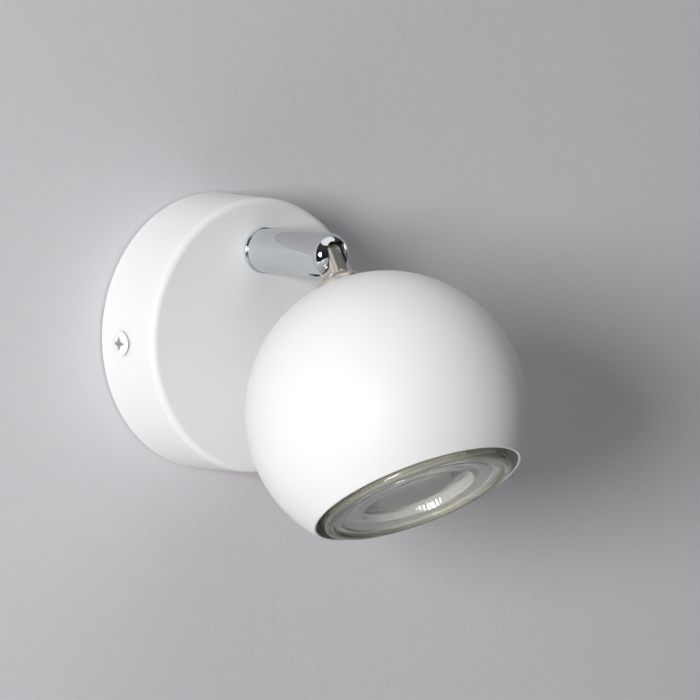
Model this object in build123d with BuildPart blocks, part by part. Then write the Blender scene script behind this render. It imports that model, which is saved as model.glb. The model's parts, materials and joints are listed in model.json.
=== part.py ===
from build123d import *
import os
from math import atan, cos, degrees, radians, sin, sqrt

# Wall spotlight: a drawn steel base with a wall bracket, a swivelling slotted arm, a tilting
# knuckle with a ball shade, and a twist-lock lamp. Millimetres. The wall is the plane y = 0,
# the light stands out along -Y, +Z is up, and the origin is the centre of the base on the wall.

# Base cover
base_dia = 74.0
base_draft = 0.8
base_depth = 20.4
base_gauge = 1.0
base_edge = 1.8

# Arm and its swivel
arm_dia = 11.5
arm_from_edge = 14.5
arm_round = 4.0
arm_bore = 5.0
pivot_out = 47.25
arm_past_pivot = 4.15
foot_ring_dia = 12.1
foot_ring_thick = 1.2
foot_edge = 0.4
nipple_dia = 8.0
nipple_wall = 1.5
nipple_thread = 9.0
nipple_flat = 0.6
nut_flats = 13.0
nut_thick = 4.0
nut_thread_end = 1.0
stop_washer_dia = 13.0
stop_washer_thick = 0.8
stop_tab_reach = 9.5
stop_tab_width = 2.0
stop_peg_dia = 2.0
stop_peg_height = 1.2
stop_radius = 8.5
spring_washer_dia = 12.5
spring_washer_thick = 1.4
spring_washer_gap = 1.0

# Slot in the arm's end and the pivot screw
slot_width = 6.2
slot_top = 3.8
slot_corner = 1.9
slot_back = 4.5
pivot_screw_dia = 3.0
pivot_head_dia = 5.2
pivot_head_thick = 1.1
pivot_seat_wall = 0.8
pivot_end_wall = 0.9
driver_slot = 0.8
driver_depth = 0.6

# Knuckle
rest_tilt = 30.7
eye_dia = 6.5
eye_thick = 5.4
eye_edge = 1.5
neck_dia = 6.5
flare_top = 5.2
flange_dia = 12.0
flange_top = 7.4
flange_rim = 2.2
flange_edge = 1.0
stub_dia = 8.0
stub_wall = 1.8
stub_bore_top = 6.0
lead_hole_dia = 2.8
lead_hole_down = 3.9
lead_hole_slope = 45.0

# Shade
shade_dia = 72.0
shade_gauge = 0.6
mouth_dia = 55.2
lip_edge = 0.2
seat_margin = 0.2

# Lamp holder and what carries it inside the shade
crown_washer_dia = 11.5
crown_washer_thick = 1.0
head_nut_flats = 11.0
head_nut_thick = 2.5
stub_past_nut = 0.45
hat_gauge = 1.0
hat_width = 10.0
hat_room = 4.3
hat_bend = 0.5
foot_end = 3.0
holder_dia = 28.0
holder_height = 11.2
holder_edge = 0.8
holder_plate = 3.7
holder_pocket = 3.6
holder_floor = 1.2
recess_dia = 16.0
holder_screw_spacing = 21.0
holder_screw_dia = 3.0
holder_head_dia = 5.6
holder_head_thick = 2.0
holder_head_sunk = 2.4
screw_past_foot = 0.8
contact_thick = 0.4
contact_tail_dia = 1.6
contact_tail = 1.0

# Twist-lock lamp
pin_spacing = 10.0
pin_neck_dia = 3.1
pin_neck = 4.2
pin_head_dia = 5.0
pin_head = 2.8
pin_edge = 0.5
twist = 20.0
lamp_body = 41.5
cap_dia = 19.4
cap_flats = 16.0
cap_straight = 9.5
cap_length = 14.0
cap_top_dia = 23.0
cap_floor = 2.0
cap_bore_dia = 13.0
lamp_dia = 50.0
rim_height = 3.4
rim_step = 1.0
rim_width = 2.4
rim_edge = 1.0
glass_wall = 1.6
shelf_width = 1.1
optic_sunk = 0.6
optic_disc = 2.3
well_dia = 32.0
well_floor_dia = 24.0
well_depth = 1.8
dome_dia = 23.0
dome_height = 1.8
cone_dia = 34.0
cone_tip_dia = 15.0
led_room_dia = 9.4
led_room_depth = 3.5
ring_dia = 40.0
ring_width = 1.0
ring_depth = 0.3
heat_sink_dia = 18.8
heat_sink_top_dia = 24.0
heat_sink_wall = 2.4
heat_sink_height = 10.8
board_dia = 21.0
board_thick = 1.2
chip_size = 1.5
chip_thick = 0.5
chip_ring_dia = 5.4
chip_count = 6
driver_width = 11.0
driver_thick = 1.2
driver_length = 15.0
choke_dia = 6.0
choke_thick = 3.2

# Wall bracket
bracket_gauge = 1.5
bracket_width = 14.0
bracket_bend = 0.6
tab_height = 13.0
slot_spacing = 46.0
wall_slot_length = 11.0
wall_slot_width = 4.6
plate_width = 36.0
plate_down = 28.5
plate_corner = 4.0

# Cover screws, earth screw and terminal block
cover_screw_out = 8.1
cover_screw_up = -0.8
cover_screw_dia = 4.0
cover_head_dia = 6.5
cover_head_thick = 1.1
cover_head_rim = 0.3
cover_screw_grip = 6.5
cross_span = 3.6
cross_width = 0.9
cross_depth = 0.7
earth_x = 12.5
earth_screw_dia = 4.0
earth_head_dia = 6.4
earth_head_thick = 2.2
tag_dia = 7.4
tag_thick = 0.7
crimp_dia = 2.8
crimp_length = 5.0
pole_pitch = 8.0
pole_count = 3
pole_width = 7.0
block_depth = 15.0
block_height = 12.0
block_up = -19.0
ear_length = 5.0
ear_thick = 3.0
pole_edge = 1.0
barrel_dia = 4.4
barrel_bore = 2.8
barrel_length = 12.0
barrel_out = 5.5
clamp_screw_dia = 2.4
clamp_row = 6.0
clamp_length = 4.6
ear_screw_dia = 2.5
ear_head_dia = 4.4
ear_head_thick = 1.6
ear_slot = 2.6

# Leads
lead_dia = 1.0
lead_gap = 0.2
lead_bend = 1.6
lead_run = 2.0

# Clearances
swivel_play = 0.05
swivel_fit = 0.08
thread_fit = 0.05
pivot_fit = 0.05
screw_fit = 0.15
wall_gap = 0.3
nut_gap = 0.3
pin_fit = 0.15
seat_gap = 0.25
glass_fit = 0.1
cut_past = 1.0


# Frames: the wall, the arm's axis, and the head's axis through the pivot
arm_up = base_dia / 2 - arm_from_edge
tilt = radians(rest_tilt)
wall = Plane(origin=(0, 0, 0), x_dir=(1, 0, 0), z_dir=(0, -1, 0))
arm = Plane(origin=(0, 0, arm_up), x_dir=(1, 0, 0), z_dir=(0, -1, 0))
pivot = Vector(0, -pivot_out, arm_up)
head = Plane(origin=pivot, x_dir=(1, 0, 0), z_dir=(0, -sin(tilt), -cos(tilt)))
swing = Plane(origin=pivot, x_dir=head.y_dir, z_dir=(1, 0, 0))
across = Plane(origin=pivot, x_dir=(0, -1, 0), z_dir=(1, 0, 0))


def section(plane):
    """The plane through the given plane's axis: x is the radius, y runs along the axis."""
    return Plane(origin=plane.origin, x_dir=plane.x_dir, z_dir=-plane.y_dir)


def axis_of(plane):
    return Axis(plane.origin, plane.z_dir)


def arc_depth(radius, half_chord):
    """How far from a circle's centre a chord of this half-length lies."""
    return sqrt(radius**2 - half_chord**2)


# Places along the arm, measured out from the wall
inner_face = base_depth - base_gauge
stop_washer_out = inner_face - swivel_play - stop_washer_thick
spring_washer_out = stop_washer_out - spring_washer_thick
nut_out = spring_washer_out - nut_thick
nipple_start = nut_out - nut_thread_end
foot_ring_out = base_depth + swivel_play
arm_foot = foot_ring_out + foot_ring_thick
nipple_end = arm_foot + nipple_thread
slot_start = pivot_out - slot_back
arm_end = pivot_out + arm_past_pivot

# Places along the head's axis, measured from the pivot
shade_radius = shade_dia / 2
shade_inner = shade_radius - shade_gauge
seat_radius = flange_dia / 2 + seat_margin
crown = arc_depth(shade_radius, seat_radius)
flange_seat = flange_top + flange_rim
reach = flange_seat + crown
crown_inside = flange_seat + shade_gauge
hat_top = crown_inside + crown_washer_thick
head_nut_top = hat_top + hat_gauge
stub_end = head_nut_top + head_nut_thick + stub_past_nut
holder_back = head_nut_top + hat_room
holder_front = holder_back + holder_height
lamp_base = holder_front + seat_gap
mouth = reach + arc_depth(shade_radius, mouth_dia / 2)


def ring(plane, outer_dia, inner_dia, thickness):
    with BuildPart() as washer:
        with BuildSketch(plane):
            Circle(outer_dia / 2)
            Circle(inner_dia / 2, mode=Mode.SUBTRACT)
        extrude(amount=thickness)
    return washer


def hex_nut(plane, flats, bore_dia, thickness):
    with BuildPart() as nut:
        with BuildSketch(plane):
            RegularPolygon(radius=flats / 2, side_count=6, major_radius=False)
            Circle(bore_dia / 2, mode=Mode.SUBTRACT)
        extrude(amount=thickness)
    return nut


def domed_screws(seats, head_dia, head_thick, head_rim, shank_dia, length, span, width, depth):
    """One screw on each seat plane, head outwards, with a slot or a cross cut in its head."""
    with BuildPart() as screws:
        for seat in seats:
            with BuildSketch(section(seat)):
                with BuildLine():
                    TangentArc((0, head_thick), (head_dia / 2, head_rim), tangent=(1, 0))
                    Polyline(
                        (head_dia / 2, head_rim),
                        (head_dia / 2, 0),
                        (shank_dia / 2, 0),
                        (shank_dia / 2, -length),
                        (0, -length),
                        (0, head_thick),
                    )
                make_face()
            revolve(axis=axis_of(seat))
        with BuildSketch(*[seat.offset(head_thick) for seat in seats]):
            Rectangle(span, width)
            Rectangle(width, span)
        extrude(amount=-depth, mode=Mode.SUBTRACT)
    return screws


def wires(routes, radii):
    """Round leads along routes of straight runs joined by tangent arcs."""
    with BuildPart() as bundle:
        for route in routes:
            with BuildLine() as path:
                if len(route) > 2:
                    FilletPolyline(*route, radius=radii)
                else:
                    Line(*route)
            line = path.wire()
            with BuildSketch(Plane(origin=line @ 0, z_dir=line % 0)):
                Circle(lead_dia / 2)
            sweep(path=line)
    return bundle


# Base cover: a drawn, tapered cup, with the swivel hole, a stop peg inside and a screw hole on each side
base_taper = base_draft / base_depth
screw_seat_radius = base_dia / 2 - base_taper * cover_screw_out
side_seats = [
    Plane(
        origin=(side * screw_seat_radius, -cover_screw_out, cover_screw_up),
        x_dir=(0, 0, 1),
        z_dir=(side, -base_taper, 0),
    )
    for side in (-1, 1)
]
with BuildPart() as base_cover:
    with BuildSketch(wall):
        Circle(base_dia / 2)
    extrude(amount=base_depth, taper=degrees(atan(base_taper)))
    fillet(base_cover.faces().sort_by(Axis.Y)[0].edges(), radius=base_edge)
    offset(amount=-base_gauge, openings=base_cover.faces().sort_by(Axis.Y)[-1])
    with Locations(arm.offset(base_depth)):
        Hole(radius=nipple_dia / 2 + swivel_fit, depth=2 * base_gauge)
    with BuildSketch(arm.offset(inner_face)):
        with Locations((0, stop_radius)):
            Circle(stop_peg_dia / 2)
    extrude(amount=-stop_peg_height)
    with Locations(*side_seats):
        Hole(radius=cover_screw_dia / 2 + screw_fit, depth=3 * base_gauge)

# Wall bracket: a strip with upturned tabs, two wall slots and a plate for the terminal block
tab_room = base_dia / 2 - base_gauge - base_taper * tab_height
bracket_half = arc_depth(tab_room, bracket_width / 2) - wall_gap
block = wall.offset(bracket_gauge)
block_centre = (0, block_up)
ear_holes = pole_count * pole_pitch + ear_length
with BuildPart() as wall_bracket:
    with BuildSketch(section(wall)):
        Rectangle(2 * bracket_half, tab_height, align=(Align.CENTER, Align.MIN))
        with Locations((0, bracket_gauge)):
            Rectangle(
                2 * (bracket_half - bracket_gauge),
                tab_height,
                align=(Align.CENTER, Align.MIN),
                mode=Mode.SUBTRACT,
            )
    extrude(amount=bracket_width / 2, both=True)
    fillet(wall_bracket.edges().filter_by(Axis.Z).group_by(Axis.Y)[-1], bracket_gauge + bracket_bend)
    fillet(wall_bracket.edges().filter_by(Axis.Z).group_by(Axis.Y)[-2], bracket_bend)
    with BuildSketch(wall) as plate:
        Rectangle(plate_width, plate_down, align=(Align.CENTER, Align.MAX))
        fillet(plate.vertices().group_by(Axis.Y)[0], radius=plate_corner)
    extrude(amount=bracket_gauge)
    with BuildSketch(wall):
        with GridLocations(slot_spacing, 0, 2, 1):
            SlotOverall(wall_slot_length, wall_slot_width)
        with Locations((earth_x, 0)):
            Circle(earth_screw_dia / 2 + thread_fit)
        with Locations(block_centre):
            with GridLocations(ear_holes, 0, 2, 1):
                Circle(ear_screw_dia / 2 + thread_fit)
    extrude(amount=bracket_gauge, mode=Mode.SUBTRACT)
    with Locations(*side_seats):
        Hole(radius=cover_screw_dia / 2 + thread_fit, depth=base_dia / 2 - bracket_half + 2 * bracket_gauge)

cover_screws = domed_screws(
    side_seats, cover_head_dia, cover_head_thick, cover_head_rim, cover_screw_dia, cover_screw_grip,
    cross_span, cross_width, cross_depth,
)

# Terminal block: three poles on a flanged strip, each with a brass barrel and two clamp screws
pole_xs = [(index - (pole_count - 1) / 2) * pole_pitch for index in range(pole_count)]
barrel_planes = [
    Plane(origin=(x, -bracket_gauge - barrel_out, block_up), x_dir=(1, 0, 0), z_dir=(0, 0, 1))
    for x in pole_xs
]
with BuildPart() as terminal_block:
    with BuildSketch(block):
        with Locations(block_centre):
            SlotOverall(pole_count * pole_pitch + 3 * ear_length, 2 * ear_length)
    extrude(amount=ear_thick)
    with BuildSketch(block):
        with Locations(block_centre):
            with GridLocations(pole_pitch, 0, pole_count, 1):
                RectangleRounded(pole_width, block_depth, pole_edge)
    extrude(amount=block_height)
    with BuildSketch(*barrel_planes):
        Circle(barrel_dia / 2 + screw_fit)
    extrude(amount=block_depth, both=True, mode=Mode.SUBTRACT)
    with BuildSketch(block.offset(barrel_out)):
        with Locations(block_centre):
            with GridLocations(pole_pitch, clamp_row, pole_count, 2):
                Circle(clamp_screw_dia / 2 + screw_fit)
    extrude(amount=block_height, mode=Mode.SUBTRACT)
    with BuildSketch(block):
        with Locations(block_centre):
            with GridLocations(ear_holes, 0, 2, 1):
                Circle(ear_screw_dia / 2 + screw_fit)
    extrude(amount=ear_thick, mode=Mode.SUBTRACT)

with BuildPart() as terminal_barrels:
    with BuildSketch(*barrel_planes):
        Circle(barrel_dia / 2)
        Circle(barrel_bore / 2, mode=Mode.SUBTRACT)
    extrude(amount=barrel_length / 2, both=True)
    with BuildSketch(block.offset(barrel_out)):
        with Locations(block_centre):
            with GridLocations(pole_pitch, clamp_row, pole_count, 2):
                Circle(clamp_screw_dia / 2 + thread_fit)
    extrude(amount=block_height, mode=Mode.SUBTRACT)

clamp_tip = barrel_out + lead_dia / 2 + thread_fit
with BuildPart() as terminal_screws:
    with BuildSketch(block.offset(clamp_tip)):
        with Locations(block_centre):
            with GridLocations(pole_pitch, clamp_row, pole_count, 2):
                Circle(clamp_screw_dia / 2)
    extrude(amount=clamp_length)
    with BuildSketch(block.offset(clamp_tip + clamp_length)):
        with Locations(block_centre):
            with GridLocations(pole_pitch, clamp_row, pole_count, 2):
                Rectangle(clamp_screw_dia, driver_slot)
    extrude(amount=-driver_depth, mode=Mode.SUBTRACT)

ear_seats = [
    Plane(origin=(side * ear_holes / 2, -bracket_gauge - ear_thick, block_up), z_dir=(0, -1, 0))
    for side in (-1, 1)
]
block_screws = domed_screws(
    ear_seats, ear_head_dia, ear_head_thick, ear_head_thick / 2, ear_screw_dia,
    ear_thick + bracket_gauge, ear_slot, driver_slot, driver_depth,
)

# Earth point on the bracket: a ring tag with a crimp, under a screw
tag_out = bracket_gauge + tag_thick
earth_seat = Plane(origin=(earth_x, -tag_out, 0), z_dir=(0, -1, 0))
earth_screw = domed_screws(
    [earth_seat], earth_head_dia, earth_head_thick, earth_head_thick / 2, earth_screw_dia, tag_out,
    cross_span, cross_width, cross_depth,
)
crimp_start = Vector(earth_x - tag_dia / 2 - crimp_length, -bracket_gauge - crimp_dia / 2, 0)
crimp = Plane(origin=crimp_start, z_dir=(1, 0, 0))
with BuildPart() as earth_tag:
    with BuildSketch(block):
        with Locations((earth_x, 0)):
            Circle(tag_dia / 2)
        with Locations((earth_x, 0)):
            Rectangle(tag_dia / 2 + crimp_length / 2, crimp_dia, align=(Align.MAX, Align.CENTER))
        with Locations((earth_x, 0)):
            Circle(earth_screw_dia / 2 + screw_fit, mode=Mode.SUBTRACT)
    extrude(amount=tag_thick)
    with BuildSketch(crimp):
        Circle(crimp_dia / 2)
    extrude(amount=crimp_length)
    with BuildSketch(crimp):
        Circle(lead_dia / 2 + thread_fit)
    extrude(amount=crimp_length, mode=Mode.SUBTRACT)

# Arm: a tube with a rounded end, slotted from the front and below for the knuckle
head_seat = slot_width / 2 + pivot_seat_wall
screw_tip = arm_dia / 2 - pivot_end_wall
with BuildPart() as arm_tube:
    with BuildSketch(arm.offset(arm_foot)):
        Circle(arm_dia / 2)
    extrude(amount=arm_end - arm_foot)
    fillet(arm_tube.faces().sort_by(Axis.Y)[0].edges(), radius=arm_round)
    fillet(arm_tube.faces().sort_by(Axis.Y)[-1].edges(), radius=foot_edge)
    with BuildSketch(arm.offset(arm_foot)):
        Circle(nipple_dia / 2 + thread_fit)
    extrude(amount=nipple_thread, mode=Mode.SUBTRACT)
    with BuildSketch(arm.offset(arm_foot)):
        Circle(arm_bore / 2)
    extrude(amount=slot_start - arm_foot + cut_past, mode=Mode.SUBTRACT)
    with BuildSketch(arm.offset(slot_start)) as slot:
        with Locations((0, slot_top)):
            Rectangle(slot_width, slot_top + arm_dia, align=(Align.CENTER, Align.MAX))
        fillet(slot.vertices().group_by(Axis.Y)[-1], radius=slot_corner)
    extrude(amount=arm_end - slot_start + cut_past, mode=Mode.SUBTRACT)
    with BuildSketch(across.offset(-screw_tip)):
        Circle(pivot_screw_dia / 2 + thread_fit)
    extrude(amount=screw_tip + arm_dia, mode=Mode.SUBTRACT)
    with BuildSketch(across.offset(head_seat)):
        Circle(pivot_head_dia / 2 + screw_fit)
    extrude(amount=arm_dia, mode=Mode.SUBTRACT)

with BuildPart() as pivot_screw:
    with BuildSketch(across.offset(-screw_tip)):
        Circle(pivot_screw_dia / 2)
    extrude(amount=screw_tip + head_seat)
    with BuildSketch(across.offset(head_seat)):
        Circle(pivot_head_dia / 2)
    extrude(amount=pivot_head_thick)
    with BuildSketch(across.offset(head_seat + pivot_head_thick)):
        Rectangle(pivot_head_dia, driver_slot)
    extrude(amount=-driver_depth, mode=Mode.SUBTRACT)

# Swivel of the arm: foot ring, nipple with a flat, stop washer on that flat, spring washer and nut
with BuildPart() as foot_ring:
    with BuildSketch(arm.offset(foot_ring_out)):
        Circle(foot_ring_dia / 2)
    extrude(amount=foot_ring_thick)
    fillet(foot_ring.edges(), radius=foot_edge)
    with BuildSketch(arm.offset(foot_ring_out)):
        Circle(nipple_dia / 2 + thread_fit)
    extrude(amount=foot_ring_thick, mode=Mode.SUBTRACT)

flat_radius = nipple_dia / 2 - nipple_flat
with BuildPart() as arm_nipple:
    with BuildSketch(arm.offset(nipple_start)):
        Circle(nipple_dia / 2)
        Circle(nipple_dia / 2 - nipple_wall, mode=Mode.SUBTRACT)
    extrude(amount=nipple_end - nipple_start)
    with BuildSketch(arm.offset(nipple_start)):
        with Locations((0, flat_radius)):
            Rectangle(nipple_dia, nipple_dia, align=(Align.CENTER, Align.MIN))
    extrude(amount=inner_face - nipple_start, mode=Mode.SUBTRACT)

with BuildPart() as stop_washer:
    with BuildSketch(arm.offset(stop_washer_out)):
        Circle(stop_washer_dia / 2)
        Rectangle(stop_tab_width, stop_tab_reach, align=(Align.CENTER, Align.MAX))
        with BuildSketch(mode=Mode.SUBTRACT):
            Circle(nipple_dia / 2 + thread_fit)
            with Locations((0, flat_radius + thread_fit)):
                Rectangle(nipple_dia * 2, nipple_dia, align=(Align.CENTER, Align.MIN), mode=Mode.SUBTRACT)
    extrude(amount=stop_washer_thick)

with BuildPart() as spring_washer:
    with BuildSketch(arm.offset(spring_washer_out)):
        Circle(spring_washer_dia / 2)
        Circle(nipple_dia / 2 + thread_fit, mode=Mode.SUBTRACT)
        Rectangle(spring_washer_dia, spring_washer_gap, align=(Align.MIN, Align.CENTER), mode=Mode.SUBTRACT)
    extrude(amount=spring_washer_thick)

arm_nut = hex_nut(arm.offset(nut_out), nut_flats, nipple_dia + 2 * thread_fit, nut_thick)

# Knuckle: eye and tongue in the arm's slot, trumpet flange on the shade, hollow stub through its crown
slope = radians(lead_hole_slope)
lead_way = head.y_dir * sin(slope) + head.z_dir * cos(slope)
lead_hole_mouth = pivot - head.y_dir * (neck_dia / 2) + head.z_dir * lead_hole_down
lead_hole_length = neck_dia / 2 / sin(slope)
lead_hole = Plane(origin=lead_hole_mouth, x_dir=(1, 0, 0), z_dir=lead_way)
stub_bore = stub_dia / 2 - stub_wall
with BuildPart() as knuckle:
    with BuildSketch(swing):
        Circle(eye_dia / 2)
        Rectangle(neck_dia, flange_seat - shade_gauge, align=(Align.CENTER, Align.MIN))
    extrude(amount=eye_thick / 2, both=True)
    fillet(knuckle.faces().filter_by(Axis.X).edges(), radius=eye_edge)
    with BuildSketch(section(head)) as trumpet:
        with BuildLine():
            TangentArc((neck_dia / 2, flare_top), (flange_dia / 2, flange_top), tangent=(0, 1))
            Polyline(
                (flange_dia / 2, flange_top),
                (flange_dia / 2, flange_seat),
                (stub_dia / 2, flange_seat),
                (stub_dia / 2, stub_end),
                (0, stub_end),
                (0, flare_top),
                (neck_dia / 2, flare_top),
            )
        make_face()
        fillet(trumpet.vertices().group_by(Axis.X)[-1].sort_by(Axis.Y)[0], radius=flange_edge)
    revolve(axis=axis_of(head))
    with BuildSketch(head.offset(stub_end)):
        Circle(stub_bore)
    extrude(amount=stub_bore_top - stub_end, mode=Mode.SUBTRACT)
    with BuildSketch(across):
        Circle(pivot_screw_dia / 2 + pivot_fit)
    extrude(amount=eye_thick, both=True, mode=Mode.SUBTRACT)
    with BuildSketch(lead_hole.offset(-lead_hole_dia)):
        Circle(lead_hole_dia / 2)
    extrude(amount=lead_hole_dia + lead_hole_length, mode=Mode.SUBTRACT)

# Shade: a ball of sheet steel with a flat seat at its crown and a plane mouth
mouth_inside = arc_depth(shade_inner, mouth - reach)
seat_inside = arc_depth(shade_inner, crown - shade_gauge)
with BuildPart() as shade:
    with BuildSketch(section(head.offset(reach))) as ball:
        with BuildLine():
            ThreePointArc((seat_radius, -crown), (shade_radius, 0), (mouth_dia / 2, mouth - reach))
            Line((mouth_dia / 2, mouth - reach), (mouth_inside, mouth - reach))
            ThreePointArc(
                (mouth_inside, mouth - reach), (shade_inner, 0), (seat_inside, shade_gauge - crown)
            )
            Polyline(
                (seat_inside, shade_gauge - crown),
                (stub_dia / 2 + screw_fit, shade_gauge - crown),
                (stub_dia / 2 + screw_fit, -crown),
                (seat_radius, -crown),
            )
        make_face()
        fillet(ball.vertices().group_by(Axis.Y)[-1], radius=lip_edge)
    revolve(axis=axis_of(head))

# Inside the crown: washer, nut and the hat-shaped bracket that carries the lamp holder
crown_washer = ring(
    head.offset(crown_inside), crown_washer_dia, stub_dia + 2 * thread_fit, crown_washer_thick
)
head_nut = hex_nut(head.offset(head_nut_top), head_nut_flats, stub_dia + 2 * thread_fit, head_nut_thick)
hat_leg = head_nut_flats / sqrt(3) + nut_gap + hat_gauge
foot_reach = holder_screw_spacing / 2 + foot_end
with BuildPart() as holder_bracket:
    with BuildSketch(section(head.offset(hat_top))) as hat:
        Rectangle(2 * hat_leg, hat_gauge + hat_room, align=(Align.CENTER, Align.MIN))
        with Locations((0, hat_room)):
            Rectangle(2 * foot_reach, hat_gauge, align=(Align.CENTER, Align.MIN))
        with Locations((0, hat_gauge)):
            Rectangle(
                2 * (hat_leg - hat_gauge),
                hat_room,
                align=(Align.CENTER, Align.MIN),
                mode=Mode.SUBTRACT,
            )
        fillet(hat.vertices().group_by(Axis.Y)[0], radius=hat_bend + hat_gauge / 2)
    extrude(amount=hat_width / 2, both=True)
    with BuildSketch(head.offset(hat_top)):
        Circle(stub_dia / 2 + screw_fit)
    extrude(amount=hat_gauge, mode=Mode.SUBTRACT)
    with BuildSketch(head.offset(holder_back)):
        with GridLocations(holder_screw_spacing, 0, 2, 1):
            Circle(holder_screw_dia / 2 + thread_fit)
    extrude(amount=-hat_gauge, mode=Mode.SUBTRACT)

# Lamp holder: a ceramic puck with two keyhole arcs, pin pockets behind them and a lead recess
pin_radius = pin_spacing / 2
pin_angles = (90, 270)
neck_slot = pin_neck_dia + 2 * pin_fit
head_slot = pin_head_dia + 2 * pin_fit
plate_back = holder_front - holder_plate
pocket_back = plate_back - holder_pocket
recess_start = pocket_back - holder_floor
pin_arcs = [CenterArc((0, 0), pin_radius, angle, twist) for angle in pin_angles]


def twist_arcs(width):
    for arc in pin_arcs:
        SlotArc(arc, width)


def pin_circles(dia, turn=0):
    for angle in pin_angles:
        with PolarLocations(pin_radius, 1, start_angle=angle + turn):
            Circle(dia / 2)


with BuildPart() as lamp_holder:
    with BuildSketch(head.offset(holder_back)):
        Circle(holder_dia / 2)
    extrude(amount=holder_height)
    ends = lamp_holder.faces().filter_by(GeomType.PLANE)
    fillet(ends.edges(), radius=holder_edge)
    with BuildSketch(head.offset(holder_front)):
        twist_arcs(neck_slot)
        pin_circles(head_slot, twist)
    extrude(amount=-holder_plate, mode=Mode.SUBTRACT)
    with BuildSketch(head.offset(plate_back)):
        twist_arcs(head_slot)
    extrude(amount=-holder_pocket, mode=Mode.SUBTRACT)
    with BuildSketch(head.offset(pocket_back)):
        pin_circles(contact_tail_dia + 2 * screw_fit)
    extrude(amount=-holder_floor, mode=Mode.SUBTRACT)
    with BuildSketch(head.offset(recess_start)):
        Circle(recess_dia / 2)
    extrude(amount=holder_back - recess_start, mode=Mode.SUBTRACT)
    with BuildSketch(head.offset(holder_front)):
        with GridLocations(holder_screw_spacing, 0, 2, 1):
            Circle(holder_screw_dia / 2 + screw_fit)
    extrude(amount=-holder_height, mode=Mode.SUBTRACT)
    with BuildSketch(head.offset(holder_front)):
        with GridLocations(holder_screw_spacing, 0, 2, 1):
            Circle(holder_head_dia / 2 + screw_fit)
    extrude(amount=-holder_head_sunk, mode=Mode.SUBTRACT)

with BuildPart() as holder_contacts:
    with BuildSketch(head.offset(pocket_back)):
        twist_arcs(head_slot - 2 * pin_fit)
    extrude(amount=contact_thick)
    with BuildSketch(head.offset(pocket_back)):
        pin_circles(contact_tail_dia)
    extrude(amount=-holder_floor - contact_tail)

screw_seat = holder_front - holder_head_sunk
holder_seats = [
    Plane(
        origin=head.from_local_coords((side * holder_screw_spacing / 2, 0, screw_seat)),
        x_dir=head.x_dir,
        z_dir=head.z_dir,
    )
    for side in (-1, 1)
]
holder_screws = domed_screws(
    holder_seats, holder_head_dia, holder_head_thick, holder_head_thick / 2, holder_screw_dia,
    screw_seat - holder_back + hat_gauge + screw_past_foot, cross_span, cross_width, cross_depth,
)

# Lamp: cap with pins, glass bowl, optic on the bowl's shelf, heat sink with the LED board, driver
lamp = head.offset(lamp_base)
cap_radius = cap_dia / 2
neck_radius = cap_top_dia / 2
optic_face = lamp_body - optic_sunk
optic_back = optic_face - optic_disc
bowl_top = lamp_body - rim_height
rim_inside = lamp_dia / 2 - rim_width
optic_radius = rim_inside - glass_fit
shelf_radius = optic_radius - shelf_width
bowl_radius = lamp_dia / 2 - rim_step
board_back = cap_length + heat_sink_height
board_top = board_back + board_thick
with BuildPart() as lamp_cap:
    with BuildSketch(section(lamp)):
        with BuildLine():
            Polyline(
                (0, 0),
                (cap_radius, 0),
                (cap_radius, cap_straight),
                (neck_radius, cap_length),
                (cap_bore_dia / 2, cap_length),
                (cap_bore_dia / 2, cap_floor),
                (0, cap_floor),
                (0, 0),
            )
        make_face()
    revolve(axis=axis_of(head))
    with BuildSketch(lamp):
        for side in (-1, 1):
            with Locations((side * cap_flats / 2, 0)):
                Rectangle(
                    cap_dia,
                    cap_dia,
                    align=(Align.MIN if side > 0 else Align.MAX, Align.CENTER),
                )
    extrude(amount=cap_straight, mode=Mode.SUBTRACT)

with BuildPart() as lamp_pins:
    with BuildSketch(lamp):
        pin_circles(pin_neck_dia)
    extrude(amount=-pin_neck)
    with BuildSketch(head.offset(lamp_base - pin_neck)):
        pin_circles(pin_head_dia)
    extrude(amount=-pin_head)
    pin_ends = lamp_pins.edges().filter_by(GeomType.CIRCLE).group_by(SortBy.RADIUS)[-1]
    fillet(pin_ends, radius=pin_edge)

with BuildPart() as lamp_glass:
    with BuildSketch(section(lamp)) as bowl:
        with BuildLine():
            TangentArc((bowl_radius, bowl_top), (neck_radius, cap_length), tangent=(0, -1))
            Line((neck_radius, cap_length), (neck_radius - glass_wall, cap_length))
            TangentArc(
                (shelf_radius, bowl_top), (neck_radius - glass_wall, cap_length), tangent=(0, -1)
            )
            Polyline(
                (shelf_radius, bowl_top),
                (shelf_radius, optic_back),
                (rim_inside, optic_back),
                (rim_inside, lamp_body),
                (lamp_dia / 2, lamp_body),
                (lamp_dia / 2, bowl_top),
                (bowl_radius, bowl_top),
            )
        make_face()
        fillet(bowl.vertices().group_by(Axis.Y)[-1], radius=rim_edge)
    revolve(axis=axis_of(head))

with BuildPart() as lamp_optic:
    with BuildSketch(section(lamp)):
        with BuildLine():
            TangentArc(
                (0, optic_face - well_depth + dome_height),
                (dome_dia / 2, optic_face - well_depth),
                tangent=(1, 0),
            )
            Polyline(
                (dome_dia / 2, optic_face - well_depth),
                (well_floor_dia / 2, optic_face - well_depth),
                (well_dia / 2, optic_face),
                (optic_radius, optic_face),
                (optic_radius, optic_back),
                (cone_dia / 2, optic_back),
                (cone_tip_dia / 2, board_top),
                (led_room_dia / 2, board_top),
                (led_room_dia / 2, board_top + led_room_depth),
                (0, board_top + led_room_depth),
                (0, optic_face - well_depth + dome_height),
            )
        make_face()
    revolve(axis=axis_of(head))
    with BuildSketch(lamp.offset(optic_face)):
        Circle(ring_dia / 2 + ring_width / 2)
        Circle(ring_dia / 2 - ring_width / 2, mode=Mode.SUBTRACT)
    extrude(amount=-ring_depth, mode=Mode.SUBTRACT)

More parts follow.
